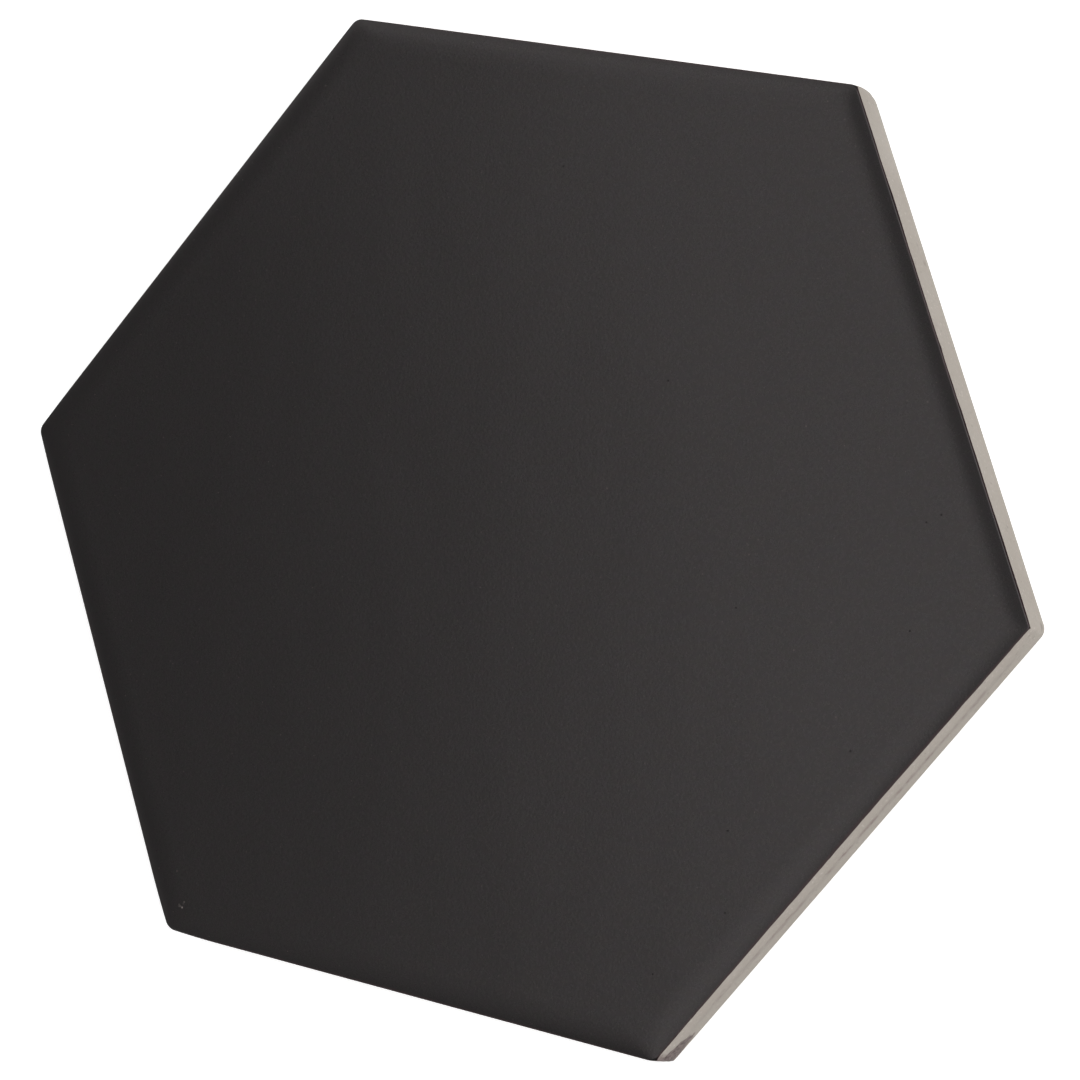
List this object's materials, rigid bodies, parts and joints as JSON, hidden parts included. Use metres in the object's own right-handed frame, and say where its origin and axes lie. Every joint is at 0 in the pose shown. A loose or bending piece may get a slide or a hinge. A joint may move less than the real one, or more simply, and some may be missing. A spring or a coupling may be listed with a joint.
{
  "type": "hexagon floor tile",
  "caption": "Hexagonal ceramic floor tile with a dark satin glazed face, softly rolled edges and a honeycomb keyed back for adhesive.",
  "frame": {"origin": "middle of the back, on the plane of its ribs and rim, which is what the tile lies on", "axes": "+Z out of the glazed face; +X from the middle to a corner, so that two sides face +Y and -Y"},
  "size_m": [0.173, 0.15, 0.0082],
  "materials": {
    "glazed_tile": "satin"
  },
  "bodies": {
    "root": {"tile": "glazed_tile"}
  },
  "joints": []
}
